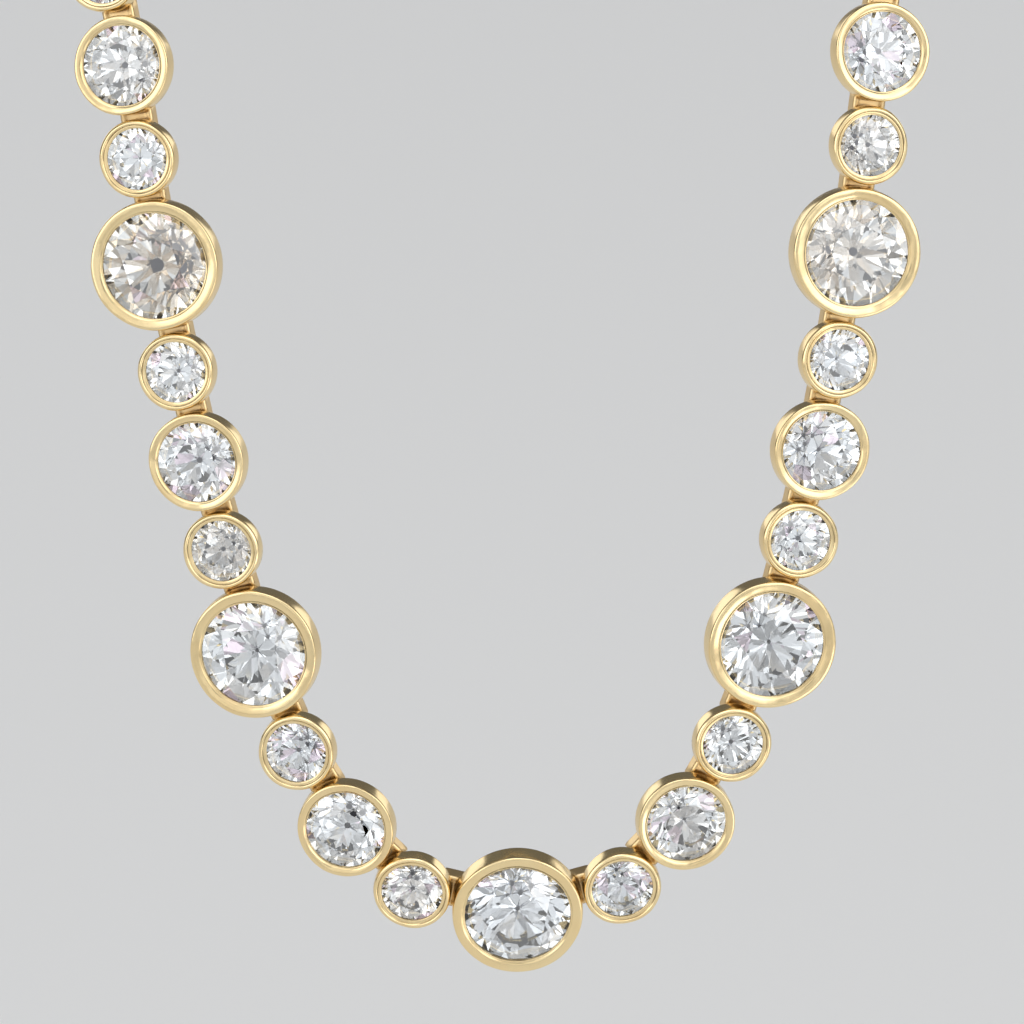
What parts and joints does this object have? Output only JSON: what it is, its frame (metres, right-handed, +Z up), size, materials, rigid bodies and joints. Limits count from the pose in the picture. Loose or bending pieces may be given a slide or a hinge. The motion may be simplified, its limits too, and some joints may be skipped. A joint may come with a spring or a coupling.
{
  "type": "riviere necklace",
  "caption": "Riviere necklace: round brilliant-cut stones in three sizes, each in a closed gold collet, joined in a loop by small gold hinge links; shown hanging round a neck.",
  "frame": {"origin": "the nape: middle of the clasp's inner face, where the necklace rests on the back of the neck", "axes": "+Z up as worn, -Y from the nape towards the front of the wearer, +X to the right in the picture"},
  "size_m": [0.1018, 0.1129, 0.1119],
  "materials": {
    "gold": "polished yellow gold with fine hand-finishing marks",
    "diamond": "clear colourless facets"
  },
  "bodies": {
    "root": {"large_collet_1": "gold", "large_collet_2": "gold", "large_collet_3": "gold", "large_collet_4": "gold", "large_collet_5": "gold", "large_collet_6": "gold", "large_collet_7": "gold", "large_collet_8": "gold", "large_collet_9": "gold", "large_collet_10": "gold", "large_collet_11": "gold", "large_collet_12": "gold", "large_collet_13": "gold", "large_collet_14": "gold", "large_collet_15": "gold", "large_stone_1": "diamond", "large_stone_2": "diamond", "large_stone_3": "diamond", "large_stone_4": "diamond", "large_stone_5": "diamond", "large_stone_6": "diamond", "large_stone_7": "diamond", "large_stone_8": "diamond", "large_stone_9": "diamond", "large_stone_10": "diamond", "large_stone_11": "diamond", "large_stone_12": "diamond", "large_stone_13": "diamond", "large_stone_14": "diamond", "large_stone_15": "diamond", "medium_collets": "gold", "medium_stones": "diamond", "small_collets": "gold", "small_stones": "diamond", "links": "gold", "clasp": "gold"}
  },
  "joints": []
}
